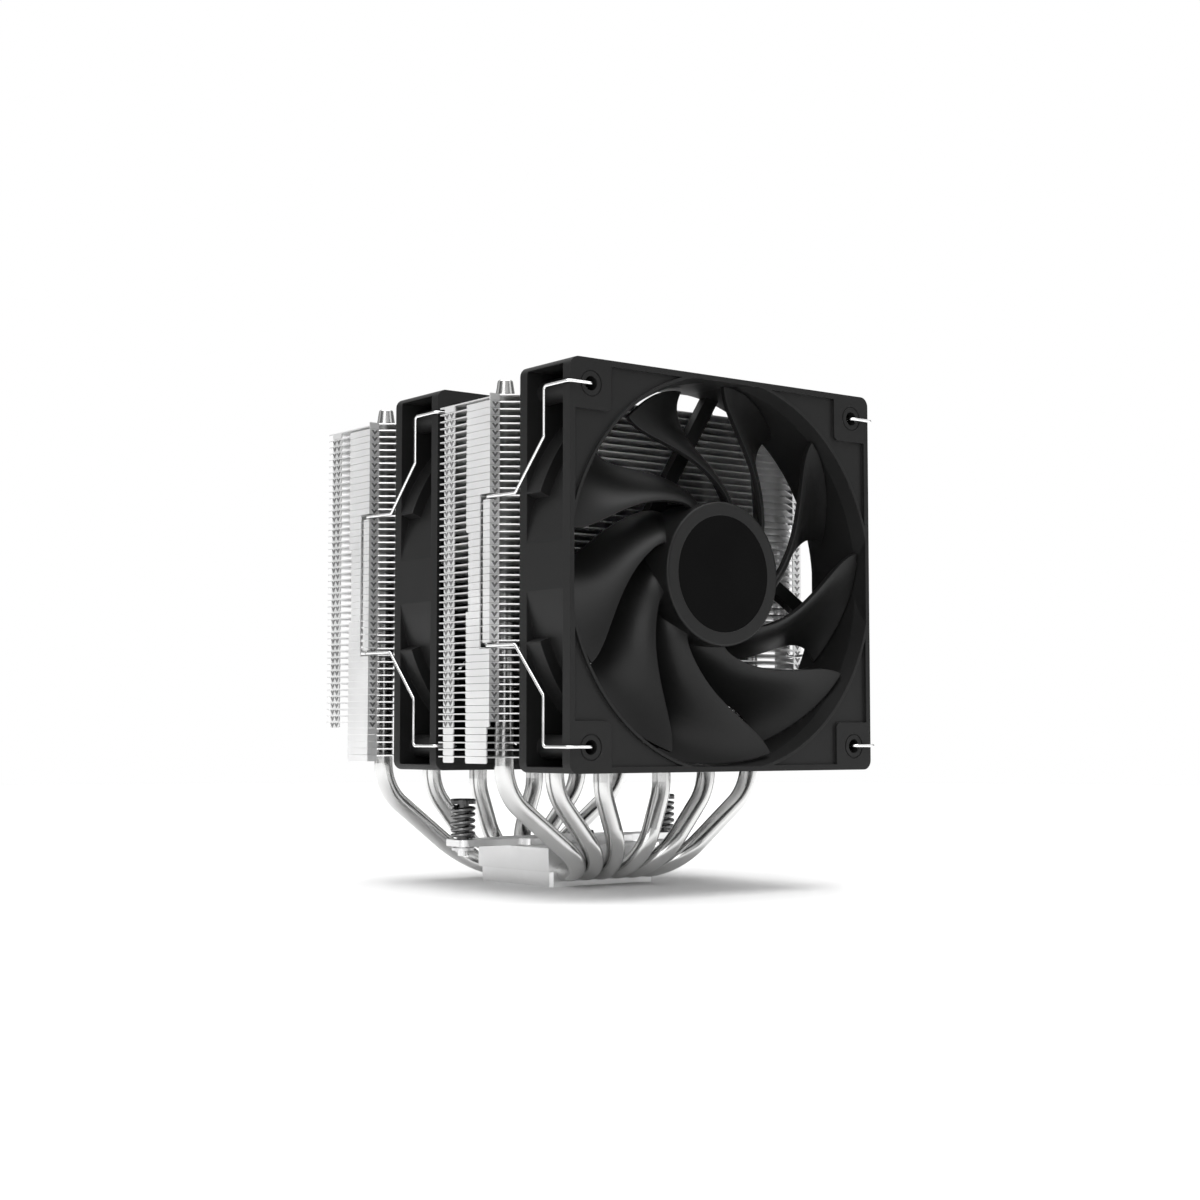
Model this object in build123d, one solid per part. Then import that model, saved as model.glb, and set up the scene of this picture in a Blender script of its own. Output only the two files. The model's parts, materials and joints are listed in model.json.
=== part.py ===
from build123d import *
import math
import os

# Dual tower CPU cooler. Millimetres, X to the right, Y to the back, +Z up.
# The origin is the centre of the base's contact face, which rests on the processor.

# Fans, a standard 120 mm size
FAN_SIZE = 120.0
FAN_DEPTH = 25.0
FAN_HOLE_SPACING = 105.0
FAN_HOLE_R = 2.15
FAN_BOTTOM_Z = 37.5
FAN_CENTRE_Z = FAN_BOTTOM_Z + FAN_SIZE / 2
MIDDLE_FAN_Y = -FAN_DEPTH / 2
FAN_PITCH = 70.0
FRONT_FAN_Y = MIDDLE_FAN_Y - FAN_PITCH
FANS = {"front": FRONT_FAN_Y, "middle": MIDDLE_FAN_Y}
FRAME_CORNER_R = 3.0
FLANGE = 3.6
EDGE_WALL = 1.8
HOLE_TUBE_R = 3.6
SIDE_RIB_R = 64.0
SIDE_RIB_FRONT_Y = 14.4
SIDE_RIB_ANGLES = (20.0, 42.0)
BORE_R = 60.0
BORE_HALF_WIDTH = 58.5
BARREL_R = 60.4
DUCT_R = 58.7
FLARE_DEPTH = 5.0
PAD_SIZE = 15.0
POCKET_DEPTH = 1.0
RIM_WIDTH = 1.8
PAD_CORNER_R = 1.8
DUCT_LIP = 0.9
HOLE_GROOVE_R = (3.5, 3.9)
HOLE_GROOVE_DEPTH = 0.3
MOTOR_MOUNT_R = 23.0
MOTOR_MOUNT_Y = 21.6
MOTOR_FOOT = 2.0
MOTOR_BACK_WALL = 1.2
STRUT_WIDTH = 4.6
STRUT_OFFSET = 20.0
STRUT_ANGLE = 58.0
CABLE_OUTLET = (6.0, 4.0, 5.0)

# Rotor
HUB_R = 22.2
HUB_FRONT_Y = 2.3
HUB_BACK_Y = 20.0
HUB_WALL = 1.5
LABEL_R = 17.9
LABEL_DEPTH = 0.5
BLADES = 9
BLADE_TIP_R = 57.8
BLADE_THICKNESS = 1.5
BLADE_TIP_ANGLE = 9.3
BLADE_ROOT_FRONT = 6.0
BLADE_TIP_FRONT = 3.4
BLADE_BACK = 18.2
BLADE_CAMBER = 1.4
BLADE_SWEEP = 53.0
BLADE_SWEEP_POWER = 1.8
BLADE_CHORD = 35.0
BLADE_CHORD_DIP = 9.0
BLADE_ROWS = 11
BLADE_COLUMNS = 7
HUB_EDGE_R = 0.8
SHAFT_SEAT_R = 4.0
SHAFT_START_Y = HUB_FRONT_Y + LABEL_DEPTH + 0.6
SHAFT_END_Y = 21.8
SHAFT_R = 1.5
SHAFT_CLEARANCE = 0.05
TUBE_INNER_R = 3.6
TUBE_OUTER_R = 5.0
TUBE_FRONT_Y = 7.6
MAGNET_OUTER_R = 19.6
MAGNET_INNER_R = 17.6
MAGNET_YS = (6.0, 18.0)
YOKE_BACK_Y = 19.0
YOKE_WALL = 0.8
SHAFT_GROOVE_R = 1.1
SHAFT_GROOVE_Y = 20.6
RING_R = 2.8
BEARING_BACK_Y = 20.2
YOKE_OUTER_R = HUB_R - HUB_WALL
CORE_R = 16.4
CORE_RING_R = 7.4
CORE_YS = (8.6, 15.4)
CORE_MIDDLE_Y = sum(CORE_YS) / 2
SHOE_R = 13.4
SHOE_WIDTH = 19.0
POLES = 4
POLE_TURN = 45.0
POLE_LENGTH = 8.0
POLE_WIDTH = 3.2
COIL_LENGTH = 5.2
COIL_BUILD = 1.6
BOARD_R = 16.6
BOARD_FRONT_Y = 18.6
BOARD_BACK_Y = 19.8

# Fin towers
FIN_COUNT = 51
LOWER_FIN_COUNT = 5
FIN_PITCH = 2.181
FIN_THICKNESS = 0.4
FIN_BOTTOM_Z = 41.63
TAB_GAP = 0.12
TAB_CORNER_R = 0.6
FIN_FRONT = 26.5
FIN_BACK = 68.6
FIN_NOSE_HALF = 48.0
FIN_HALF = 60.0
FIN_WIDE_HALF = 63.5
FIN_NECK_HALF = 54.0
FIN_NECK_FRONT = 31.6
NECK_STEP = 1.4
STEP_FRONT = 35.6
STEP_BACK = 48.3
RECESS_FRONT = 50.0
LOCK_FRONT = 60.3
LOCK_BACK = 66.0
REAR_CUT = 52.5
PANEL_FRONT = 46.0
PANEL_DEPTH = 0.8
PANEL_HALF_HEIGHT = 12.0

# Heat pipes
PIPE_R = 3.0
PIPE_TOP_Z = 158.0
PIPE_TIP_R = 2.3
PIPE_TIP = 4.5
PIPE_LEG_X = (50.0, 31.0, 12.0)
PIPE_BASE_PITCH = 6.4
PIPE_BASE_Z = 4.8
PIPE_LEG_Y = 35.3
PIPE_KNEE_Z = 30.7
PIPE_KNEE_R = 17.0
PIPE_ELBOW_R = 14.0
PIPE_COUNT = 2 * len(PIPE_LEG_X)

# Base and mounting bar
PLATE_HALF_X = 21.0
PLATE_HALF_Y = 20.0
COVER_HALF_X = 22.0
COVER_HALF_Y = 19.9
COVER_TOP_Z = 12.9
HOLLOW_Y = 13.2
HOLLOW_SIZE = (30.0, 8.0, 3.6)
BAR_HALF_LENGTH = 45.4
BAR_WIDTH = 11.0
BAR_THICKNESS = 2.2
BAR_TOP_Z = COVER_TOP_Z + BAR_THICKNESS
BAR_WIDE_WIDTH = 18.0
BAR_SCREW_X = 8.0
BAR_SCREW_R = 1.5
BAR_SCREW_LENGTH = 5.6
BAR_SCREW_HEAD = 1.6
BAR_SCREW_HEAD_R = 2.7
SCREW_SPACING = 83.0
SCREW_SHANK_R = 1.9
SCREW_SHANK_TOP_Z = 26.4
SCREW_HEAD_R = 4.1
SCREW_HEAD_HEIGHT = 1.7
RECESS_LENGTH = 4.6
RECESS_WIDTH = 1.0
RECESS_DEPTH = 1.2
SCREW_TIP_Z = 9.8
BAR_HOLE_R = 2.3
SPRING_R = 3.4
SPRING_WIRE_R = 0.65
SPRING_TURNS = 4.5
SPRING_GAP = 0.05
RETAINER_R = 3.6
RETAINER_Z = 12.0
RETAINER_THICKNESS = 0.8
RETAINER_GROOVE_R = 1.1
TIP_R = 1.5
TIP_TOP_Z = 11.7

# Wire clips: the route of the upper half of one clip, on the left side of a fan,
# as (x, y, z) from the middle of the fan's front face
WIRE_R = 0.5
WIRE_BEND_R = 1.2
HOLE_OFFSET = FAN_HOLE_SPACING / 2
WIRE_END_Z = 52.4
WIRE_FACE_Y = -0.7
WIRE_SIDE_X = 61.0
WIRE_DROP_Y = 11.4
WIRE_DROP_Z = 37.6
WIRE_HOOK_Z = 22.4
WIRE_BEND_X = 63.0
WIRE_BEND_Y = 37.4
WIRE_HOOK_X = 61.4
WIRE_HOOK_Y = 40.2
GROOVE_DEPTH = 2.8
GROOVE_HALF = 0.85
GROOVE_Y = 40.0
MOUTH_HEIGHT = 1.8


def tube_y(radius, start, end):
    """Cylinder along Y between two depths."""
    middle = (start + end) / 2
    return Pos(0, middle, 0) * Rot(90, 0, 0) * Cylinder(radius, end - start)


def ring_y(outer, inner, start, end):
    return tube_y(outer, start, end) - tube_y(inner, start - 1, end + 1)


def slab_y(width, height, start, end, corner=0.0):
    """Upright rectangle in X and Z between two depths, with rounded corners."""
    shape = RectangleRounded(width, height, corner) if corner else Rectangle(width, height)
    return Pos(0, end, 0) * Rot(90, 0, 0) * extrude(shape, end - start)


def in_fan(shape, fan):
    return Pos(0, FANS[fan], FAN_CENTRE_Z) * shape


def one_solid(shape):
    """The largest solid of a shape that should be one piece."""
    return max(shape.solids(), key=lambda solid: solid.volume)


# ---------------------------------------------------------------- fan frame

def barrel(depth_start, depth_end):
    """Outside of the round air duct, flattened by the frame's square sides."""
    round_part = tube_y(BARREL_R, depth_start, depth_end)
    return round_part & slab_y(FAN_SIZE, FAN_SIZE, depth_start, depth_end)


def face_pocket(start, end):
    """Shallow pocket of one face, between the rim, the corner pads and the duct."""
    inside = FAN_SIZE - 2 * RIM_WIDTH
    pocket = slab_y(inside, inside, start, end)
    pocket -= tube_y(BORE_R + DUCT_LIP, start - 1, end + 1)
    pad_centre = FAN_SIZE / 2 - PAD_SIZE / 2
    for side_x in (-1, 1):
        for side_z in (-1, 1):
            pad = slab_y(PAD_SIZE, PAD_SIZE, start - 1, end + 1, PAD_CORNER_R)
            pocket -= Pos(side_x * pad_centre, 0, side_z * pad_centre) * pad
    return pocket


def side_rib(side_x, side_z):
    """Raised band round the duct, in front of the back flange."""
    band = tube_y(SIDE_RIB_R, SIDE_RIB_FRONT_Y, FAN_DEPTH - FLANGE)
    rays = [math.radians(angle) for angle in SIDE_RIB_ANGLES]
    far = 2 * SIDE_RIB_R
    corners = [(side_x * far * math.cos(ray), side_z * far * math.sin(ray)) for ray in rays]
    wedge = make_face(Polyline((0, 0), *corners, close=True))
    return band & (Pos(0, FAN_DEPTH, 0) * Rot(90, 0, 0) * extrude(wedge, FAN_DEPTH, both=True))


def fan_frame():
    frame = slab_y(FAN_SIZE, FAN_SIZE, 0, FAN_DEPTH, FRAME_CORNER_R)
    waist = slab_y(FAN_SIZE + 2, FAN_SIZE + 2, FLANGE, FAN_DEPTH - FLANGE)
    waist -= barrel(FLANGE - 1, FAN_DEPTH - FLANGE + 1)
    for side_z in (-1, 1):
        wall = Box(FAN_SIZE + 4, FAN_DEPTH, EDGE_WALL)
        waist -= Pos(0, FAN_DEPTH / 2, side_z * (FAN_SIZE - EDGE_WALL) / 2) * wall
        for side_x in (-1, 1):
            waist -= side_rib(side_x, side_z)
    frame -= waist
    flare = Pos(0, FLARE_DEPTH / 2, 0) * Rot(90, 0, 0) * Cone(DUCT_R, BORE_R, FLARE_DEPTH)
    bore = tube_y(DUCT_R, -1, FAN_DEPTH + 1) + flare
    frame -= bore & slab_y(2 * BORE_HALF_WIDTH, 2 * BORE_HALF_WIDTH, -1, FAN_DEPTH + 1)
    frame -= face_pocket(-1, POCKET_DEPTH)
    frame -= face_pocket(FAN_DEPTH - POCKET_DEPTH, FAN_DEPTH + 1)
    for side_x in (-1, 1):
        for side_z in (-1, 1):
            hole = tube_y(FAN_HOLE_R, -1, FAN_DEPTH + 1)
            groove = ring_y(HOLE_GROOVE_R[1], HOLE_GROOVE_R[0], -1, HOLE_GROOVE_DEPTH)
            place = Pos(side_x * HOLE_OFFSET, 0, side_z * HOLE_OFFSET)
            frame += place * tube_y(HOLE_TUBE_R, FLANGE - 1, FAN_DEPTH - FLANGE + 1)
            frame -= place * hole
            frame -= place * groove
    frame += tube_y(MOTOR_MOUNT_R, MOTOR_MOUNT_Y, FAN_DEPTH)
    for turn in range(4):
        strut = Box(BORE_R, FAN_DEPTH - MOTOR_MOUNT_Y, STRUT_WIDTH)
        strut = Pos(BORE_R / 2 - 3, (MOTOR_MOUNT_Y + FAN_DEPTH) / 2, STRUT_OFFSET) * strut
        strut = Rot(0, -(STRUT_ANGLE + 90 * turn), 0) * strut
        frame += strut & barrel(MOTOR_MOUNT_Y - 1, FAN_DEPTH)
    frame += tube_y(TUBE_OUTER_R, TUBE_FRONT_Y, MOTOR_MOUNT_Y + 1)
    frame += tube_y(TUBE_OUTER_R + MOTOR_FOOT, BOARD_BACK_Y + 0.2, MOTOR_MOUNT_Y + 1)
    frame -= tube_y(TUBE_INNER_R, TUBE_FRONT_Y - 1, FAN_DEPTH - MOTOR_BACK_WALL)
    outlet = Pos(BORE_R + 1, FAN_DEPTH - FLANGE - CABLE_OUTLET[1] / 2, 0) * Box(*CABLE_OUTLET)
    frame -= Rot(0, 45, 0) * outlet
    return one_solid(frame)


# ---------------------------------------------------------------- fan rotor

def blade_lead_angle(share):
    """Sweep of the front edge in degrees, from the hub (0) to the tip (1)."""
    return -BLADE_SWEEP * (1 - share) ** BLADE_SWEEP_POWER


def blade_chord_angle(share):
    return BLADE_CHORD - BLADE_CHORD_DIP * math.sin(math.pi * share)


def blade_point(share, along):
    """Point on the blade's middle surface; along runs from front to back edge."""
    radius = HUB_R + (BLADE_TIP_R - HUB_R) * share
    angle = blade_lead_angle(min(max(share, 0), 1)) - blade_chord_angle(share) * along
    front = BLADE_ROOT_FRONT + (BLADE_TIP_FRONT - BLADE_ROOT_FRONT) * share
    depth = front + (BLADE_BACK - front) * along ** BLADE_CAMBER
    turn = math.radians(angle)
    return Vector(radius * math.cos(turn), depth, radius * math.sin(turn))


def blade():
    """One blade; its surface runs past hub and tip, and is cut to the two radii."""
    shares = [-0.06 + 1.13 * row / (BLADE_ROWS - 1) for row in range(BLADE_ROWS)]
    alongs = [column / (BLADE_COLUMNS - 1) for column in range(BLADE_COLUMNS)]
    grid = [[blade_point(share, along) for along in alongs] for share in shares]
    face = Face.make_surface_from_array_of_points(grid, tol=0.02, min_deg=3, max_deg=6)
    solid = Solid.thicken(face, BLADE_THICKNESS / 2)
    other = Solid.thicken(face, -BLADE_THICKNESS / 2)
    return (solid + other) & ring_y(BLADE_TIP_R, HUB_R - HUB_WALL / 2, 0, FAN_DEPTH)


def fan_rotor():
    hub = tube_y(HUB_R, HUB_FRONT_Y, HUB_BACK_Y)
    hub = fillet(hub.edges().filter_by(GeomType.CIRCLE).sort_by(Axis.Y)[0], HUB_EDGE_R)
    hub -= tube_y(HUB_R - HUB_WALL, HUB_FRONT_Y + HUB_WALL, HUB_BACK_Y + 1)
    hub -= tube_y(LABEL_R, HUB_FRONT_Y - 1, HUB_FRONT_Y + LABEL_DEPTH)
    hub += tube_y(SHAFT_SEAT_R, HUB_FRONT_Y + LABEL_DEPTH, TUBE_FRONT_Y - 0.6)
    hub -= tube_y(SHAFT_R, SHAFT_START_Y, TUBE_FRONT_Y)
    single = blade()
    for number in range(BLADES):
        turn = BLADE_TIP_ANGLE + 360.0 * number / BLADES
        hub += Rot(0, -turn, 0) * single
    return one_solid(hub)


def hub_label():
    return tube_y(LABEL_R, HUB_FRONT_Y + 0.1, HUB_FRONT_Y + LABEL_DEPTH)


def rotor_shaft():
    shaft = tube_y(SHAFT_R, SHAFT_START_Y, SHAFT_END_Y)
    return shaft - ring_y(SHAFT_R + 1, SHAFT_GROOVE_R, SHAFT_GROOVE_Y, SHAFT_GROOVE_Y + 0.6)


def retaining_ring():
    return ring_y(RING_R, SHAFT_GROOVE_R, SHAFT_GROOVE_Y + 0.05, SHAFT_GROOVE_Y + 0.55)


def rotor_yoke():
    """Steel cup inside the hub, behind the magnet ring."""
    yoke = tube_y(YOKE_OUTER_R, HUB_FRONT_Y + HUB_WALL, YOKE_BACK_Y)
    yoke -= tube_y(MAGNET_OUTER_R, HUB_FRONT_Y + HUB_WALL + YOKE_WALL, YOKE_BACK_Y + 1)
    return yoke - tube_y(SHAFT_SEAT_R, 0, YOKE_BACK_Y)


def magnet_ring():
    return ring_y(MAGNET_OUTER_R, MAGNET_INNER_R, *MAGNET_YS)


def sleeve_bearing():
    return ring_y(TUBE_INNER_R, SHAFT_R + SHAFT_CLEARANCE, TUBE_FRONT_Y + 0.2, BEARING_BACK_Y)


def stator_core():
    """Laminated core with four T-shaped poles."""
    core = ring_y(CORE_RING_R, TUBE_OUTER_R, *CORE_YS)
    height = CORE_YS[1] - CORE_YS[0]
    for turn in range(POLES):
        arm = Pos((CORE_RING_R + SHOE_R) / 2, CORE_MIDDLE_Y, 0) * Box(POLE_LENGTH, height, POLE_WIDTH)
        shoe = ring_y(CORE_R, SHOE_R, *CORE_YS) & (Pos(CORE_R, CORE_MIDDLE_Y, 0) * Box(8, 10, SHOE_WIDTH))
        core += Rot(0, POLE_TURN + 90 * turn, 0) * (arm + shoe)
    return one_solid(core)


def stator_coils():
    """One winding on each pole, as four separate solids."""
    coils = []
    height = CORE_YS[1] - CORE_YS[0]
    for turn in range(POLES):
        coil = Box(COIL_LENGTH, height + 2 * COIL_BUILD, POLE_WIDTH + 2 * COIL_BUILD)
        coil -= Box(COIL_LENGTH + 1, height + 0.1, POLE_WIDTH + 0.1)
        coil = Pos((CORE_RING_R + SHOE_R) / 2, CORE_MIDDLE_Y, 0) * coil
        coils.append(Rot(0, POLE_TURN + 90 * turn, 0) * coil)
    return Compound(coils)


def circuit_board():
    board = ring_y(BOARD_R, TUBE_OUTER_R, BOARD_FRONT_Y, BOARD_BACK_Y)
    return board - Pos(13, BOARD_BACK_Y, 0) * Box(2, 4, 5)


# ---------------------------------------------------------------- wire clips

def clip_route(side_x):
    """Points of one clip, from its upper end in the fan to its lower end."""
    upper = [
        (HOLE_OFFSET, FLANGE - 0.4, WIRE_END_Z),
        (HOLE_OFFSET, WIRE_FACE_Y, WIRE_END_Z),
        (WIRE_SIDE_X, WIRE_FACE_Y, WIRE_END_Z),
        (WIRE_SIDE_X, WIRE_DROP_Y, WIRE_END_Z),
        (WIRE_SIDE_X, WIRE_DROP_Y, WIRE_DROP_Z),
        (WIRE_SIDE_X + 0.6, FAN_DEPTH, WIRE_HOOK_Z),
        (WIRE_BEND_X, WIRE_BEND_Y, WIRE_HOOK_Z),
        (WIRE_HOOK_X, WIRE_HOOK_Y, WIRE_HOOK_Z),
    ]
    lower = [(x, y, -z) for x, y, z in reversed(upper)]
    return [(side_x * x, y, z) for x, y, z in upper + lower]


def fan_clip(side_x):
    path = FilletPolyline(*clip_route(side_x), radius=WIRE_BEND_R)
    section = Plane(origin=path @ 0, z_dir=path % 0) * Circle(WIRE_R)
    return one_solid(sweep(section, path=path))


# ---------------------------------------------------------------- fin towers

def fin_outline(kind):
    """Left and right outline of one fin, as (half width, depth) from the front."""
    front = [(FIN_NOSE_HALF, FIN_FRONT), (FIN_HALF, STEP_FRONT), (FIN_WIDE_HALF, STEP_FRONT)]
    middle = [(FIN_WIDE_HALF, STEP_BACK), (FIN_HALF, RECESS_FRONT)]
    back = [(FIN_HALF, FIN_BACK)]
    if kind == "front_lower":
        front = [
            (FIN_NOSE_HALF - 3, FIN_FRONT),
            (FIN_NECK_HALF, FIN_NECK_FRONT),
            (FIN_NECK_HALF, STEP_FRONT + NECK_STEP),
            (FIN_WIDE_HALF, STEP_FRONT + NECK_STEP),
        ]
    if kind == "rear_lower":
        back = [(FIN_HALF, REAR_CUT)]
    if kind == "top":
        front, middle = front[:2], []
    if kind == "panel_groove":
        inner = FIN_WIDE_HALF - PANEL_DEPTH
        middle = [(FIN_WIDE_HALF, PANEL_FRONT), (inner, PANEL_FRONT), (inner, STEP_BACK),
                  (FIN_HALF, RECESS_FRONT)]
    return front + middle + back


def fin_tabs(kind):
    """Folded edges along the sides: (half width, front, back) of each strip."""
    start = STEP_FRONT + NECK_STEP if kind == "front_lower" else STEP_FRONT
    tabs = [(FIN_WIDE_HALF, start, STEP_BACK)]
    if kind == "panel_groove":
        tabs = [(FIN_WIDE_HALF, start, PANEL_FRONT),
                (FIN_WIDE_HALF - PANEL_DEPTH, PANEL_FRONT, STEP_BACK)]
    if kind == "top":
        tabs = []
    if kind != "rear_lower":
        tabs.append((FIN_HALF, LOCK_FRONT, LOCK_BACK))
    return tabs


def hanging_tab(size_x, size_y):
    """Tab that hangs from a fin's upper face down to the next fin."""
    height = FIN_PITCH - TAB_GAP
    return Pos(0, 0, FIN_THICKNESS - height / 2) * Box(size_x, size_y, height)


def fin(kind):
    """One fin at the bottom of the stack, in the depths of the front fan."""
    outline = fin_outline(kind)
    points = outline + [(-x, y) for x, y in reversed(outline)]
    plate = extrude(make_face(Polyline(*points, close=True)), FIN_THICKNESS)
    for half, start, end in fin_tabs(kind):
        tab = hanging_tab(FIN_THICKNESS, end - start)
        tab = fillet(tab.edges().filter_by(Axis.X).group_by(Axis.Z)[0], TAB_CORNER_R)
        for side_x in (-1, 1):
            plate += Pos(side_x * (half - FIN_THICKNESS / 2), (start + end) / 2, 0) * tab
    if kind not in ("front_lower", "front_first"):
        step = hanging_tab(FIN_WIDE_HALF - FIN_HALF, FIN_THICKNESS)
        for side_x in (-1, 1):
            x = side_x * (FIN_HALF + FIN_WIDE_HALF) / 2
            plate += Pos(x, STEP_FRONT + FIN_THICKNESS / 2, 0) * step
    return plate


def fin_kind(number, tower):
    """Which outline the fin of this number has, counted from the bottom."""
    if number < LOWER_FIN_COUNT:
        return tower + "_lower"
    if number == FIN_COUNT - 1:
        return "top"
    if number == LOWER_FIN_COUNT and tower == "front":
        return "front_first"
    z = FIN_BOTTOM_Z + number * FIN_PITCH - FAN_CENTRE_Z
    if abs(z) < PANEL_HALF_HEIGHT:
        return "panel_groove"
    return "groove" if abs(z) < WIRE_HOOK_Z + MOUTH_HEIGHT + FIN_PITCH else "plain"


def clip_groove():
    """Slot in both sides of the fins that the clips' hooks drop into."""
    reach = 10
    mouth_length = GROOVE_Y + GROOVE_HALF - STEP_FRONT + 1
    groove = Part()
    for side_x in (-1, 1):
        x = side_x * (FIN_WIDE_HALF - GROOVE_DEPTH + reach / 2)
        run = Box(reach, 2 * GROOVE_HALF, 2 * WIRE_HOOK_Z + MOUTH_HEIGHT)
        groove += Pos(x, GROOVE_Y, FAN_CENTRE_Z) * run
        for side_z in (-1, 1):
            mouth = Box(reach, mouth_length, MOUTH_HEIGHT)
            z = FAN_CENTRE_Z + side_z * WIRE_HOOK_Z
            groove += Pos(x, STEP_FRONT - 1 + mouth_length / 2, z) * mouth
    return groove


def fin_stack(tower, first, last):
    """Fins of one tower from number first up to last, as separate solids."""
    pipe_y = PIPE_LEG_Y if tower == "rear" else -PIPE_LEG_Y
    fan_y = FANS["middle"] if tower == "rear" else FANS["front"]
    blanks = {}
    fins = []
    for number in range(first, last):
        kind = fin_kind(number, tower)
        if kind not in blanks:
            holes = [Pos(x, pipe_y - fan_y, 0) * Cylinder(PIPE_R, 10) for x in pipe_xs()]
            blanks[kind] = fin(kind) - holes
        z = FIN_BOTTOM_Z + number * FIN_PITCH
        piece = blanks[kind]
        if kind in ("groove", "panel_groove"):
            piece = piece - Pos(0, 0, -z) * clip_groove()
        fins.append(Pos(0, fan_y, z) * one_solid(piece))
    return Compound(fins)


# ---------------------------------------------------------------- heat pipes

def pipe_xs():
    return [-x for x in PIPE_LEG_X] + [x for x in reversed(PIPE_LEG_X)]


def pipe_base_x(number):
    return (number - (PIPE_COUNT - 1) / 2) * PIPE_BASE_PITCH


def heat_pipe(number):
    """U-shaped pipe: up through the front tower, and up through the rear one."""
    leg_x = pipe_xs()[number]
    base_x = pipe_base_x(number)
    shoulder_z = PIPE_TOP_Z - PIPE_TIP
    half = [(leg_x, shoulder_z), (leg_x, PIPE_KNEE_Z), (base_x, PIPE_BASE_Z)]
    points = [(x, -PIPE_LEG_Y, z) for x, z in half]
    points += [(x, PIPE_LEG_Y, z) for x, z in reversed(half)]
    bends = [PIPE_KNEE_R, PIPE_ELBOW_R, PIPE_ELBOW_R, PIPE_KNEE_R]
    path = FilletPolyline(*points, radius=bends)
    section = Plane(origin=path @ 0, z_dir=path % 0) * Circle(PIPE_R)
    pipe = sweep(section, path=path)
    for leg_y in (-PIPE_LEG_Y, PIPE_LEG_Y):
        tip = Cone(PIPE_R, PIPE_TIP_R, PIPE_TIP)
        tip = fillet(tip.edges().sort_by(Axis.Z)[-1], 0.8)
        pipe += Pos(leg_x, leg_y, shoulder_z + PIPE_TIP / 2) * tip
    return one_solid(pipe)


# ---------------------------------------------------------------- base

def pipe_beds():
    """Space that the six pipes take in the base."""
    beds = Part()
    for number in range(PIPE_COUNT):
        bed = Rot(90, 0, 0) * Cylinder(PIPE_R, 4 * PLATE_HALF_Y)
        beds += Pos(pipe_base_x(number), 0, PIPE_BASE_Z) * bed
    return beds


def base_plate():
    plate = Pos(0, 0, PIPE_BASE_Z / 2) * Box(2 * PLATE_HALF_X, 2 * PLATE_HALF_Y, PIPE_BASE_Z)
    corners = plate.edges().filter_by(Axis.Z)
    plate = chamfer(corners, 1.0)
    return one_solid(plate - pipe_beds())


def base_cover():
    height = COVER_TOP_Z - PIPE_BASE_Z
    cover = Pos(0, 0, PIPE_BASE_Z + height / 2) * Box(2 * COVER_HALF_X, 2 * COVER_HALF_Y, height)
    cover = chamfer(cover.edges().group_by(Axis.Z)[-1], 0.5)
    for side_y in (-1, 1):
        hollow = Pos(0, side_y * HOLLOW_Y, COVER_TOP_Z) * Box(*HOLLOW_SIZE)
        cover -= fillet(hollow.edges().filter_by(Axis.Z), 2.0)
    for side_x in (-1, 1):
        cover -= Pos(side_x * BAR_SCREW_X, 0, COVER_TOP_Z) * Cylinder(BAR_SCREW_R, 8)
    return one_solid(cover - pipe_beds())


def mounting_bar():
    """Bar across the base; its two lugs carry the spring screws."""
    bar = extrude(RectangleRounded(2 * BAR_HALF_LENGTH, BAR_WIDTH, 2.5), BAR_THICKNESS)
    bar += extrude(RectangleRounded(2 * COVER_HALF_X, BAR_WIDE_WIDTH, 1.5), BAR_THICKNESS)
    for side_x in (-1, 1):
        bar -= Pos(side_x * SCREW_SPACING / 2, 0, 0) * Cylinder(BAR_HOLE_R, 10)
        bar -= Pos(side_x * BAR_SCREW_X, 0, 0) * Cylinder(BAR_SCREW_R + 0.1, 10)
    return one_solid(Pos(0, 0, COVER_TOP_Z) * bar)


def bar_screws():
    """Two cross-head screws that hold the bar on the cover."""
    screws = []
    for side_x in (-1, 1):
        shank = Pos(0, 0, BAR_TOP_Z - BAR_SCREW_LENGTH / 2) * Cylinder(BAR_SCREW_R, BAR_SCREW_LENGTH)
        head = Pos(0, 0, BAR_TOP_Z + BAR_SCREW_HEAD / 2) * Cylinder(BAR_SCREW_HEAD_R, BAR_SCREW_HEAD)
        head = fillet(head.edges().sort_by(Axis.Z)[-1], 0.6)
        slot = Box(3.2, 0.8, BAR_SCREW_HEAD) + Box(0.8, 3.2, BAR_SCREW_HEAD)
        screw = shank + head - Pos(0, 0, BAR_TOP_Z + BAR_SCREW_HEAD) * slot
        screws.append(Pos(side_x * BAR_SCREW_X, 0, 0) * one_solid(screw))
    return Compound(screws)


# ---------------------------------------------------------------- spring screws

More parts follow.
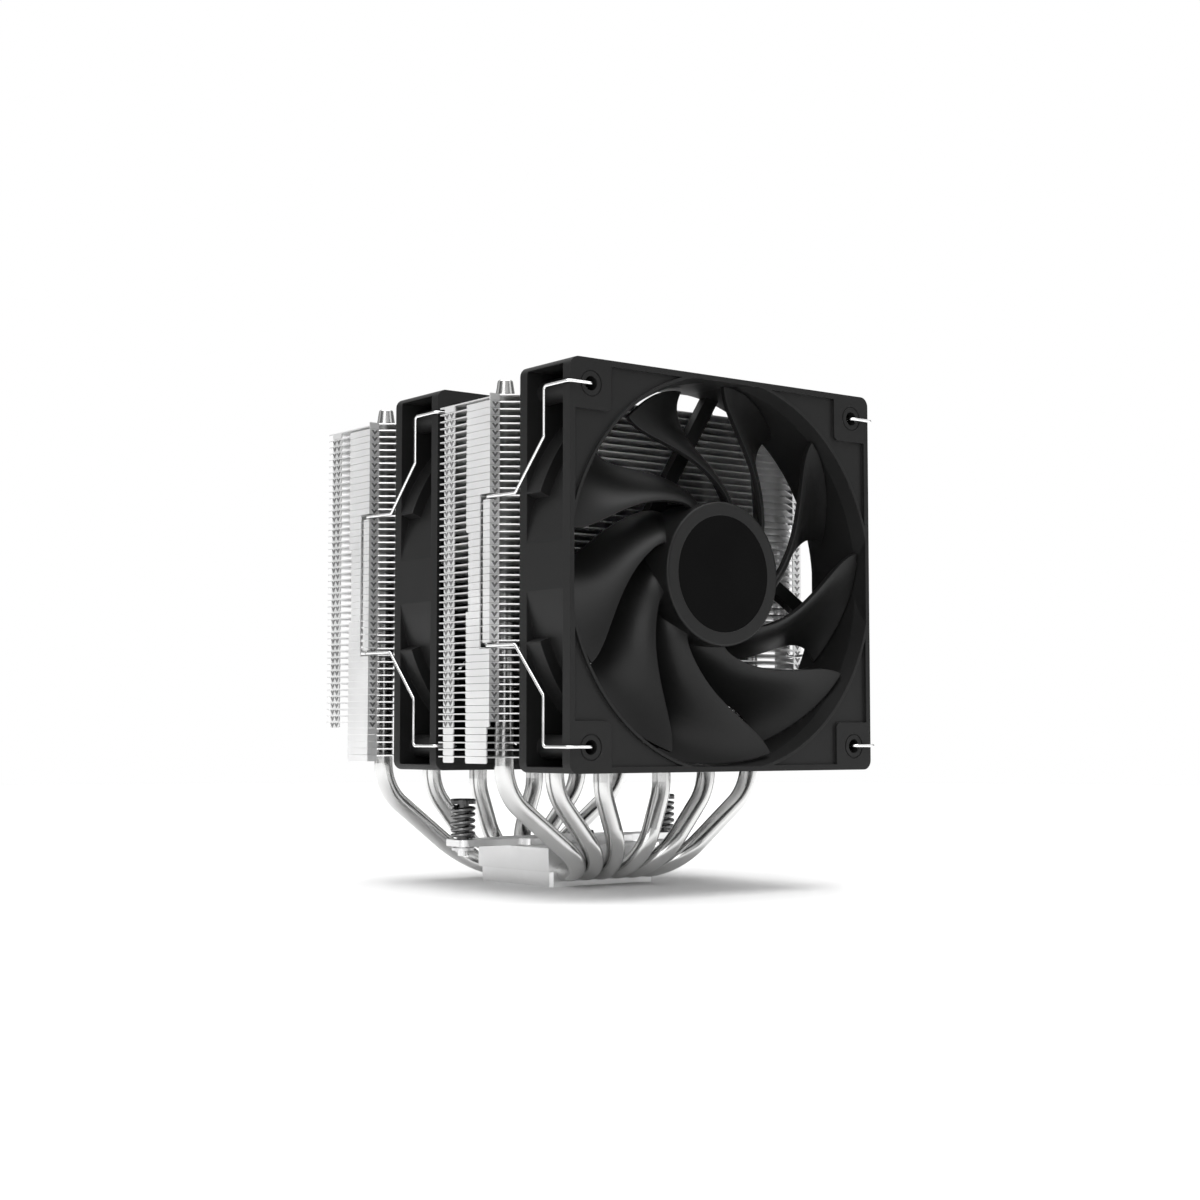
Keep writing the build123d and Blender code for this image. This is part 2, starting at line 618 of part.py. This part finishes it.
def spring_screw(side_x):
    """Captive screw with a cross recess, a shank through the lug and a threaded tip."""
    head_z = SCREW_SHANK_TOP_Z + SCREW_HEAD_HEIGHT / 2
    head = Pos(0, 0, head_z) * Cylinder(SCREW_HEAD_R, SCREW_HEAD_HEIGHT)
    head = fillet(head.edges().sort_by(Axis.Z)[-1], 0.6)
    recess = Box(RECESS_LENGTH, RECESS_WIDTH, 2 * RECESS_DEPTH)
    recess += Box(RECESS_WIDTH, RECESS_LENGTH, 2 * RECESS_DEPTH)
    head -= Pos(0, 0, SCREW_SHANK_TOP_Z + SCREW_HEAD_HEIGHT) * recess
    shank = Cylinder(SCREW_SHANK_R, SCREW_SHANK_TOP_Z - TIP_TOP_Z)
    tip = Cylinder(TIP_R, TIP_TOP_Z - SCREW_TIP_Z)
    screw = head + Pos(0, 0, (SCREW_SHANK_TOP_Z + TIP_TOP_Z) / 2) * shank
    screw += Pos(0, 0, (TIP_TOP_Z + SCREW_TIP_Z) / 2) * tip
    groove = Cylinder(RETAINER_R, RETAINER_THICKNESS + 0.1)
    groove = Pos(0, 0, RETAINER_Z) * (groove - Cylinder(RETAINER_GROOVE_R, 2))
    return one_solid(Pos(side_x * SCREW_SPACING / 2, 0, 0) * (screw - groove))


def screw_spring(side_x):
    """Compression spring between the lug and the screw's head."""
    bottom = BAR_TOP_Z + SPRING_GAP + SPRING_WIRE_R
    height = SCREW_SHANK_TOP_Z - SPRING_GAP - SPRING_WIRE_R - bottom
    path = Pos(0, 0, bottom) * Helix(height / SPRING_TURNS, height, SPRING_R)
    section = Plane(origin=path @ 0, z_dir=path % 0) * Circle(SPRING_WIRE_R)
    spring = sweep(section, path=path, is_frenet=True)
    return one_solid(Pos(side_x * SCREW_SPACING / 2, 0, 0) * spring)


def retaining_clip(side_x):
    """Open ring in the screw's groove, under the lug."""
    ring = Cylinder(RETAINER_R, RETAINER_THICKNESS)
    ring -= Cylinder(RETAINER_GROOVE_R + SHAFT_CLEARANCE, 2)
    ring -= Pos(RETAINER_R, 0, 0) * Box(2 * RETAINER_R, 1.8, 2)
    return one_solid(Pos(side_x * SCREW_SPACING / 2, 0, RETAINER_Z) * ring)


# ---------------------------------------------------------------- output

def build_nodes():
    nodes = {
        "base_plate": base_plate(),
        "base_cover": base_cover(),
        "mounting_bar": mounting_bar(),
        "bar_screws": bar_screws(),
    }
    for number in range(PIPE_COUNT):
        nodes[f"heat_pipe_{number + 1}"] = heat_pipe(number)
    for tower in ("front", "rear"):
        nodes[tower + "_fins"] = fin_stack(tower, LOWER_FIN_COUNT, FIN_COUNT)
        nodes[tower + "_lower_fins"] = fin_stack(tower, 0, LOWER_FIN_COUNT)
    for side, side_x in (("left", -1), ("right", 1)):
        nodes[side + "_spring_screw"] = spring_screw(side_x)
        nodes[side + "_screw_spring"] = screw_spring(side_x)
        nodes[side + "_retaining_clip"] = retaining_clip(side_x)
    fan_parts = {
        "fan_frame": fan_frame(),
        "fan_rotor": fan_rotor(),
        "hub_label": hub_label(),
        "rotor_shaft": rotor_shaft(),
        "retaining_ring": retaining_ring(),
        "rotor_yoke": rotor_yoke(),
        "magnet_ring": magnet_ring(),
        "sleeve_bearing": sleeve_bearing(),
        "stator_core": stator_core(),
        "stator_coils": stator_coils(),
        "circuit_board": circuit_board(),
        "left_fan_clip": fan_clip(-1),
        "right_fan_clip": fan_clip(1),
    }
    for fan in FANS:
        for name, shape in fan_parts.items():
            nodes[f"{fan}_{name}"] = in_fan(shape, fan)
    return nodes


os.makedirs("parts", exist_ok=True)
for node_name, node_shape in build_nodes().items():
    export_step(node_shape, f"parts/{node_name}.step")
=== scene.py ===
import json
import math

import bmesh
import bpy
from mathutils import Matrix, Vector


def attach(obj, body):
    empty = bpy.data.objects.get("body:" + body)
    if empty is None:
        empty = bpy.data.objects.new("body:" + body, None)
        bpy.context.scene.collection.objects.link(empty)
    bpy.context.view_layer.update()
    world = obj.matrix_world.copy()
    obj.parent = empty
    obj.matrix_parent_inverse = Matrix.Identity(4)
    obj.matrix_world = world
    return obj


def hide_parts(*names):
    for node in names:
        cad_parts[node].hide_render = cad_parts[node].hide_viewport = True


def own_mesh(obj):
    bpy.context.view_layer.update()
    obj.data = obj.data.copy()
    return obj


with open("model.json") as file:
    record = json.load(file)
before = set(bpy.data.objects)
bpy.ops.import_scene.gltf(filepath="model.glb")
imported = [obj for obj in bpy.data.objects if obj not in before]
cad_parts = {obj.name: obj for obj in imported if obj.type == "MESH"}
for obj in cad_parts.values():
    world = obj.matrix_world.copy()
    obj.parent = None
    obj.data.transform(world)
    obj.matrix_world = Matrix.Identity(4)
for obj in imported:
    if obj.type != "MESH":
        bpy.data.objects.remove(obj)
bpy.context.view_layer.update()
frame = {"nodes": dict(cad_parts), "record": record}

MM = 0.001

# Measures of the frame, in metres
TOWERS = {"front": -82.5 * MM, "rear": -12.5 * MM}
SIDES = {"left": -1, "right": 1}
PIPE_LEGS_X = [x * MM for x in (-50, -31, -12, 12, 31, 50)]
PIPE_LEG_Y = {"front": -35.3 * MM, "rear": 35.3 * MM}
FIN_COUNT = 51
LOWER_FINS = 5
FIN_PITCH = 2.181 * MM
FIN_THICKNESS = 0.4 * MM
FIN_BOTTOM_Z = 41.63 * MM
STEP_FRONT = 35.6 * MM
LOCK_MIDDLE_Y = 63.15 * MM
FIN_HALF = 60.0 * MM
FIN_WIDE_HALF = 63.5 * MM
SCREW_X = 41.5 * MM
SCREW_PLATING_Z = 13.0 * MM
SPRING_BOTTOM_Z = 15.15 * MM
SPRING_TOP_Z = 26.35 * MM
SPRING_R = 3.4 * MM
SPRING_WIRE_R = 0.65 * MM

# Springs with closed ends
SPRING_TURNS = 5.5
CLOSED_TURNS = 1.0
CLOSED_RISE = 2.04 * SPRING_WIRE_R
STEPS_PER_TURN = 40
WIRE_CORNERS = 14

# Lock marks on the folded fin edges: raised marks in dark grey, which is painted shade of the
# stamped lock recesses
CHEVRON = [(x * MM, z * MM) for x, z in
           ((-1.15, 0.72), (-0.55, 0.78), (0, 0.12), (0.55, 0.78), (1.15, 0.72), (0, -0.74))]
LOCK_RELIEF = 0.28 * MM
LOCK_SUNK = 0.05 * MM
LOCK_BELOW_FIN = 0.75 * MM
LOCK_SPREAD = 1.35 * MM

# Collars of the pipes on the top fin: radius and height of each point of the section
COLLAR_SECTION = [(r * MM, z * MM) for r, z in
                  ((4.3, 0.0), (3.75, 0.08), (3.42, 0.35), (3.36, 1.25),
                   (3.30, 1.36), (3.02, 1.36), (3.02, 0.0))]
COLLAR_STEPS = 40

# Camera
YAW = math.radians(37.5)
PITCH = math.radians(3.93)
CAMERA_PLACE = (-0.3906, -0.5273, 0.0488)
LENS = 58.55
SENSOR_WIDTH = 36.0
CLIP_START = 0.01

# Studio: level of the walls from behind the camera (0) to ahead of it (1), and the ceiling's
WALL_LEVELS = ((0.0, 0.55), (0.16, 0.45), (0.25, 0.12), (0.48, 0.10),
               (0.72, 0.12), (0.86, 0.30), (1.0, 0.25))
CEILING_START = 0.45
CEILING_FULL = 0.80
CEILING_LEVEL = 1.35
BACKDROP_LEVEL = 1

# Softboxes: place, size and power in watts, all turned to the middle of the object
LIT_MIDDLE = (0, 0, 0.09)
SOFTBOXES = {
    "overhead_softbox": ((0.0, 0.0, 1.3), (1.6, 1.6), 17),
    "left_softbox": ((-0.95, 1.15, 0.35), (0.9, 1.2), 1.6),
    "front_softbox": ((-1.25, -0.85, 0.5), (0.8, 0.8), 4.5),
    "right_softbox": ((0.85, -1.1, 0.35), (0.7, 1.2), 2.3),
}
FLOOR_RADIUS = 1.3
FLOOR_CORNERS = 96


# ---------------------------------------------------------------- materials

def colour_of(tone, alpha=()):
    """A grey level or a colour as a tuple, with alpha where one is given."""
    return (tone if isinstance(tone, tuple) else (tone,) * 3) + alpha


def new_material(name):
    """A node material with its node tree's nodes and links and its principled shader."""
    material = bpy.data.materials.new(name)
    material.use_nodes = True
    nodes = material.node_tree.nodes
    return material, nodes, material.node_tree.links, nodes["Principled BSDF"]


def object_noise(nodes, links, scale, stretch, detail, rough):
    """Noise that lies on the object, in turns per metre along each axis."""
    place = nodes.new("ShaderNodeTexCoord")
    mapping = nodes.new("ShaderNodeMapping")
    mapping.inputs["Scale"].default_value = stretch
    noise = nodes.new("ShaderNodeTexNoise")
    noise.inputs["Scale"].default_value = scale
    noise.inputs["Detail"].default_value = detail
    noise.inputs["Roughness"].default_value = rough
    links.new(place.outputs["Object"], mapping.inputs["Vector"])
    links.new(mapping.outputs["Vector"], noise.inputs["Vector"])
    return noise


def ramp_between(nodes, links, source, pair):
    """Colour ramp between a pair of tones, driven by a noise's factor."""
    ramp = nodes.new("ShaderNodeValToRGB")
    elements = ramp.color_ramp.elements
    for element, position, tone in zip(elements, (0.35, 0.65), pair):
        element.position = position
        element.color = colour_of(tone, (1,))
    links.new(source.outputs["Fac"], ramp.inputs["Fac"])
    return ramp


def finish_surface(name, tones, metallic, roughness, patches, grain, relief,
                   stretch=(1, 1, 1), specular=0.5, edge=0.0):
    """A surface with soft patches of tone and roughness, a fine grain in relief and,
    where edge gives a radius, softened edges."""
    material, nodes, links, shader = new_material(name)
    patch_noise = object_noise(nodes, links, patches, (1, 1, 1), detail=3.0, rough=0.5)
    tone = ramp_between(nodes, links, patch_noise, tones)
    links.new(tone.outputs["Color"], shader.inputs["Base Color"])
    gloss = ramp_between(nodes, links, patch_noise, roughness)
    links.new(gloss.outputs["Color"], shader.inputs["Roughness"])
    grain_noise = object_noise(nodes, links, grain, stretch, detail=2.0, rough=0.6)
    bump = nodes.new("ShaderNodeBump")
    bump.inputs["Strength"].default_value = 1.0
    bump.inputs["Distance"].default_value = relief
    links.new(grain_noise.outputs["Fac"], bump.inputs["Height"])
    if edge:
        rounding = nodes.new("ShaderNodeBevel")
        rounding.samples = 4
        rounding.inputs["Radius"].default_value = edge
        links.new(rounding.outputs["Normal"], bump.inputs["Normal"])
    links.new(bump.outputs["Normal"], shader.inputs["Normal"])
    shader.inputs["Metallic"].default_value = metallic
    shader.inputs["Specular IOR Level"].default_value = specular
    return material


def two_tone_screw():
    """Black nickel head and shank, and a bright plated tip below the lug."""
    bright, blend = 0.72, 0.1 * MM
    material = finish_surface("screw_black_nickel", (0.07, 0.11), 1.0, (0.16, 0.24),
                              150, 3000, 1e-6)
    nodes, links = material.node_tree.nodes, material.node_tree.links
    shader = nodes["Principled BSDF"]
    dark = shader.inputs["Base Color"].links[0].from_socket
    place = nodes.new("ShaderNodeTexCoord")
    height = nodes.new("ShaderNodeSeparateXYZ")
    links.new(place.outputs["Object"], height.inputs[0])
    above = nodes.new("ShaderNodeMapRange")
    above.inputs["From Min"].default_value = SCREW_PLATING_Z
    above.inputs["From Max"].default_value = SCREW_PLATING_Z + blend
    links.new(height.outputs["Z"], above.inputs["Value"])
    mix = nodes.new("ShaderNodeMix")
    mix.data_type = "RGBA"
    links.new(above.outputs["Result"], mix.inputs["Factor"])
    mix.inputs["A"].default_value = colour_of(bright, (1,))
    links.new(dark, mix.inputs["B"])
    links.new(mix.outputs["Result"], shader.inputs["Base Color"])
    return material


# Tones and roughness are pairs, patches and grain are turns per metre, relief is in metres
FINISHES = {
    "fin": dict(name="fin_plating", tones=(0.84, 0.90), metallic=0.6, roughness=(0.28, 0.38),
                patches=60, grain=900, relief=2e-6, stretch=(1, 1, 12)),
    # fin_lock: dark grey tones are painted shade of the stamped lock recesses, put on raised
    # marks
    "fin_lock": dict(name="lock_recess_painted_shade", tones=(0.20, 0.28), metallic=0.7,
                     roughness=(0.36, 0.46), patches=60, grain=900, relief=2e-6),
    "pipe": dict(name="pipe_plating", tones=((0.63, 0.63, 0.625), (0.70, 0.70, 0.695)),
                 metallic=1.0, roughness=(0.17, 0.23), patches=45, grain=2500, relief=1e-6),
    "base_plate": dict(name="plate_plating", tones=(0.82, 0.87), metallic=1.0,
                       roughness=(0.34, 0.42), patches=80, grain=1200, relief=2e-6,
                       stretch=(1, 14, 1), edge=0.2 * MM),
    "cover": dict(name="milled_aluminium", tones=(0.80, 0.86), metallic=1.0,
                  roughness=(0.38, 0.48), patches=70, grain=1500, relief=2.5e-6,
                  stretch=(1, 10, 1), edge=0.25 * MM),
    "bar": dict(name="bar_plating", tones=(0.78, 0.85), metallic=1.0, roughness=(0.26, 0.36),
                patches=60, grain=1500, relief=1.5e-6, stretch=(10, 1, 1), edge=0.25 * MM),
    "bar_screw": dict(name="black_oxide", tones=(0.02, 0.035), metallic=0.9,
                      roughness=(0.30, 0.40), patches=200, grain=3000, relief=1.5e-6),
    "spring": dict(name="spring_black_nickel", tones=(0.17, 0.25), metallic=1.0,
                   roughness=(0.12, 0.20), patches=200, grain=3500, relief=1e-6),
    "retaining_clip": dict(name="clip_zinc", tones=(0.70, 0.78), metallic=1.0,
                           roughness=(0.28, 0.36), patches=200, grain=2500, relief=1.5e-6),
    "fan_frame": dict(name="frame_plastic", tones=(0.0085, 0.0105), metallic=0.0,
                      roughness=(0.46, 0.54), patches=40, grain=5200, relief=6e-6,
                      specular=0.24, edge=0.3 * MM),
    "fan_rotor": dict(name="rotor_plastic", tones=(0.0070, 0.0090), metallic=0.0,
                      roughness=(0.34, 0.42), patches=35, grain=6500, relief=3e-6,
                      specular=0.26, edge=0.35 * MM),
    "hub_label": dict(name="label_gloss", tones=(0.0008, 0.0014), metallic=0.0,
                      roughness=(0.10, 0.15), patches=60, grain=900, relief=4e-7, specular=0.06),
    "shaft": dict(name="ground_steel", tones=(0.55, 0.62), metallic=1.0, roughness=(0.15, 0.22),
                  patches=200, grain=3000, relief=1e-6, stretch=(1, 12, 1)),
    "retaining_ring": dict(name="natural_nylon", tones=((0.75, 0.74, 0.68), (0.82, 0.81, 0.76)),
                           metallic=0.0, roughness=(0.35, 0.45), patches=200, grain=3000,
                           relief=2e-6),
    "yoke": dict(name="zinc_steel", tones=(0.45, 0.55), metallic=1.0, roughness=(0.32, 0.42),
                 patches=90, grain=1800, relief=2e-6),
    "magnet": dict(name="bonded_ferrite", tones=(0.035, 0.06), metallic=0.1,
                   roughness=(0.6, 0.75), patches=200, grain=4000, relief=5e-6),
    "bearing": dict(name="sintered_bronze", tones=((0.50, 0.33, 0.17), (0.62, 0.43, 0.24)),
                    metallic=1.0, roughness=(0.35, 0.5), patches=300, grain=5000, relief=4e-6),
    "core": dict(name="silicon_steel", tones=(0.26, 0.36), metallic=1.0, roughness=(0.35, 0.5),
                 patches=100, grain=2500, relief=6e-6, stretch=(1, 8, 1)),
    "coil": dict(name="enamelled_copper", tones=((0.55, 0.22, 0.08), (0.70, 0.33, 0.13)),
                 metallic=1.0, roughness=(0.22, 0.32), patches=150, grain=3000, relief=8e-6,
                 stretch=(1, 1, 6)),
    "board": dict(name="solder_mask", tones=((0.012, 0.09, 0.035), (0.02, 0.13, 0.05)),
                  metallic=0.0, roughness=(0.25, 0.35), patches=120, grain=1500, relief=2e-6),
    "clip": dict(name="spring_wire", tones=(0.86, 0.92), metallic=1.0, roughness=(0.16, 0.24),
                 patches=200, grain=3000, relief=1e-6),
}
FLOOR_FINISH = dict(name="floor_paper", tones=(0.92, 0.94), metallic=0.0, roughness=(0.9, 0.95),
                    patches=6, grain=400, relief=2e-5, specular=0.1)

MATERIALS = {slot: finish_surface(**finish) for slot, finish in FINISHES.items()}
MATERIALS["spring_screw"] = two_tone_screw()


def dress_cad_nodes():
    """Gives every CAD node the procedural finish of its slot."""
    for part in frame["record"]["subparts"]:
        node = frame["nodes"][part["node"]]
        material = MATERIALS[part["material_slot"]]
        for number in range(len(node.material_slots)):
            node.material_slots[number].material = material


# ---------------------------------------------------------------- added pieces

def new_piece(name, points, faces, slot_name, smooth=True, finish=None):
    """A mesh piece on the heatsink, with the finish of its slot or another one."""
    mesh = bpy.data.meshes.new(name)
    mesh.from_pydata([tuple(point) for point in points], [], faces)
    mesh.update()
    body = bmesh.new()
    body.from_mesh(mesh)
    bmesh.ops.recalc_face_normals(body, faces=body.faces)
    body.to_mesh(mesh)
    body.free()
    for polygon in mesh.polygons:
        polygon.use_smooth = smooth
    piece = bpy.data.objects.new(name, mesh)
    bpy.context.scene.collection.objects.link(piece)
    mesh.materials.append(MATERIALS[finish or slot_name])
    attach(piece, "heatsink")
    return piece


def spring_line():
    """Centre line of a spring with a closed coil at each end, round the Z axis."""
    low = SPRING_BOTTOM_Z + SPRING_WIRE_R
    high = SPRING_TOP_Z - SPRING_WIRE_R
    closed_height = CLOSED_TURNS * CLOSED_RISE
    open_height = high - low - 2 * closed_height
    line = []
    for step in range(int(STEPS_PER_TURN * SPRING_TURNS) + 1):
        turn = step / STEPS_PER_TURN
        middle = min(max((turn - CLOSED_TURNS) / (SPRING_TURNS - 2 * CLOSED_TURNS), 0), 1)
        ends = min(turn, CLOSED_TURNS) + max(turn - SPRING_TURNS + CLOSED_TURNS, 0)
        z = low + ends / CLOSED_TURNS * closed_height + middle * open_height
        angle = 2 * math.pi * turn
        line.append(Vector((SPRING_R * math.cos(angle), SPRING_R * math.sin(angle), z)))
    return line


def add_springs():
    """Springs with closed ends in place of the CAD ones."""
    line = spring_line()
    for side, side_x in SIDES.items():
        points, faces = [], []
        for centre in line:
            out = Vector((centre.x, centre.y, 0)).normalized()
            for corner in range(WIRE_CORNERS):
                angle = 2 * math.pi * corner / WIRE_CORNERS
                offset = out * math.cos(angle) + Vector((0, 0, math.sin(angle)))
                points.append(centre + offset * SPRING_WIRE_R + Vector((side_x * SCREW_X, 0, 0)))
        for ring in range(len(line) - 1):
            start = ring * WIRE_CORNERS
            for corner in range(WIRE_CORNERS):
                after = (corner + 1) % WIRE_CORNERS
                faces.append((start + corner, start + after,
                              start + WIRE_CORNERS + after, start + WIRE_CORNERS + corner))
        faces.append(tuple(range(WIRE_CORNERS)))
        faces.append(tuple(range(len(points) - WIRE_CORNERS, len(points))))
        spring = new_piece(side + "_closed_spring", points, faces, "spring")
        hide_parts(side + "_screw_spring")
        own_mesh(spring)


def add_chevron(points, faces, place, across, out):
    """Adds one raised lock mark at a place, facing out, to points and faces."""
    start = len(points)
    count = len(CHEVRON)
    for level in (0, LOCK_RELIEF):
        for x, z in CHEVRON:
            points.append(place + across * x + Vector((0, 0, z)) + out * level)
    faces.append(tuple(start + corner for corner in range(count)))
    faces.append(tuple(start + count + corner for corner in range(count)))
    for corner in range(count):
        after = (corner + 1) % count
        faces.append((start + corner, start + after,
                      start + count + after, start + count + corner))


def add_fin_locks():
    """Marks of the locks between one fin and the next, on the front steps and rear strips. Their
    dark grey is painted shade of the stamped lock recesses.
    """
    for tower, front_y in TOWERS.items():
        points, faces = [], []
        step_y = front_y + STEP_FRONT + LOCK_SUNK
        for number in range(LOWER_FINS, FIN_COUNT - 1):
            z = FIN_BOTTOM_Z + number * FIN_PITCH - LOCK_BELOW_FIN
            for side_x in SIDES.values():
                step_x = side_x * (FIN_HALF + FIN_WIDE_HALF) / 2
                if not (tower == "front" and number == LOWER_FINS):
                    add_chevron(points, faces, Vector((step_x, step_y, z)),
                                Vector((1, 0, 0)), Vector((0, -1, 0)))
                strip_x = side_x * (FIN_HALF - LOCK_SUNK)
                for shift in (-LOCK_SPREAD, LOCK_SPREAD):
                    add_chevron(points, faces,
                                Vector((strip_x, front_y + LOCK_MIDDLE_Y + shift, z)),
                                Vector((0, 1, 0)), Vector((side_x, 0, 0)))
        new_piece(tower + "_fin_locks", points, faces, "fin", smooth=False, finish="fin_lock")


def add_pipe_collars():
    """Drawn collars where the pipes leave the top fin."""
    count = len(COLLAR_SECTION)
    top = FIN_BOTTOM_Z + (FIN_COUNT - 1) * FIN_PITCH + FIN_THICKNESS
    for tower, leg_y in PIPE_LEG_Y.items():
        points, faces = [], []
        for leg_x in PIPE_LEGS_X:
            start = len(points)
            for step in range(COLLAR_STEPS):
                angle = 2 * math.pi * step / COLLAR_STEPS
                for radius, z in COLLAR_SECTION:
                    points.append(Vector((leg_x + radius * math.cos(angle),
                                          leg_y + radius * math.sin(angle), top + z)))
            for step in range(COLLAR_STEPS):
                here = start + step * count
                there = start + (step + 1) % COLLAR_STEPS * count
                for corner in range(count):
                    after = (corner + 1) % count
                    faces.append((here + corner, here + after, there + after, there + corner))
        new_piece(tower + "_pipe_collars", points, faces, "fin")


# ---------------------------------------------------------------- camera, light, floor

def aim(direction):
    """Rotation of a camera or lamp that looks along a direction, with its top upwards."""
    return direction.to_track_quat("-Z", "Y").to_euler()


def add_camera():
    """Camera at the front left, a little below the middle of the fans, looking slightly up."""
    data = bpy.data.cameras.new("camera")
    data.lens = LENS
    data.sensor_width = SENSOR_WIDTH
    data.clip_start = CLIP_START
    camera = bpy.data.objects.new("camera", data)
    camera.location = CAMERA_PLACE
    camera.rotation_euler = aim(Vector((math.sin(YAW) * math.cos(PITCH),
                                        math.cos(YAW) * math.cos(PITCH), math.sin(PITCH))))
    bpy.context.scene.collection.objects.link(camera)
    bpy.context.scene.camera = camera


def add_world():
    """Studio round the object: bright ceiling, half-lit wall behind the camera, dim walls
    elsewhere. The camera itself sees a white backdrop."""
    world = bpy.data.worlds.new("studio")
    world.use_nodes = True
    nodes, links = world.node_tree.nodes, world.node_tree.links
    background = nodes["Background"]
    place = nodes.new("ShaderNodeTexCoord")
    along = nodes.new("ShaderNodeVectorMath")
    along.operation = "DOT_PRODUCT"
    along.inputs[1].default_value = (math.sin(YAW), math.cos(YAW), 0)
    links.new(place.outputs["Generated"], along.inputs[0])
    shift = nodes.new("ShaderNodeMapRange")
    shift.inputs["From Min"].default_value = -1
    links.new(along.outputs["Value"], shift.inputs["Value"])
    walls = nodes.new("ShaderNodeValToRGB")
    links.new(shift.outputs["Result"], walls.inputs["Fac"])
    elements = walls.color_ramp.elements
    for element, (position, level) in zip(elements, (WALL_LEVELS[0], WALL_LEVELS[-1])):
        element.position = position
        element.color = colour_of(level, (1,))
    for position, level in WALL_LEVELS[1:-1]:
        elements.new(position).color = colour_of(level, (1,))
    up = nodes.new("ShaderNodeSeparateXYZ")
    links.new(place.outputs["Generated"], up.inputs[0])
    overhead = nodes.new("ShaderNodeMapRange")
    overhead.inputs["From Min"].default_value = CEILING_START
    overhead.inputs["From Max"].default_value = CEILING_FULL
    links.new(up.outputs["Z"], overhead.inputs["Value"])
    room = nodes.new("ShaderNodeMix")
    room.data_type = "RGBA"
    links.new(overhead.outputs["Result"], room.inputs["Factor"])
    links.new(walls.outputs["Color"], room.inputs["A"])
    room.inputs["B"].default_value = colour_of(CEILING_LEVEL, (1,))
    seen = nodes.new("ShaderNodeLightPath")
    backdrop = nodes.new("ShaderNodeMix")
    backdrop.data_type = "RGBA"
    links.new(seen.outputs["Is Camera Ray"], backdrop.inputs["Factor"])
    links.new(room.outputs["Result"], backdrop.inputs["A"])
    backdrop.inputs["B"].default_value = colour_of(BACKDROP_LEVEL, (1,))
    links.new(backdrop.outputs["Result"], background.inputs["Color"])
    bpy.context.scene.world = world


def add_softboxes():
    """Soft rectangular lamps, which the camera doesn't see."""
    for name, (place, size, power) in SOFTBOXES.items():
        data = bpy.data.lights.new(name, "AREA")
        data.shape = "RECTANGLE"
        data.size, data.size_y = size
        data.energy = power
        light = bpy.data.objects.new(name, data)
        light.location = place
        light.rotation_euler = aim(Vector(LIT_MIDDLE) - Vector(place))
        light.visible_camera = False
        bpy.context.scene.collection.objects.link(light)


def add_floor():
    """Round sheet of pale paper under the object."""
    turns = [2 * math.pi * corner / FLOOR_CORNERS for corner in range(FLOOR_CORNERS)]
    rim = [(FLOOR_RADIUS * math.cos(turn), FLOOR_RADIUS * math.sin(turn), 0) for turn in turns]
    mesh = bpy.data.meshes.new("floor")
    mesh.from_pydata(rim, [], [tuple(range(FLOOR_CORNERS))])
    mesh.materials.append(finish_surface(**FLOOR_FINISH))
    floor = bpy.data.objects.new("floor", mesh)
    bpy.context.scene.collection.objects.link(floor)


# ---------------------------------------------------------------- assembly

dress_cad_nodes()
add_springs()
add_fin_locks()
add_pipe_collars()
add_camera()
add_world()
add_softboxes()
add_floor()
bpy.context.scene.view_settings.view_transform = "Standard"
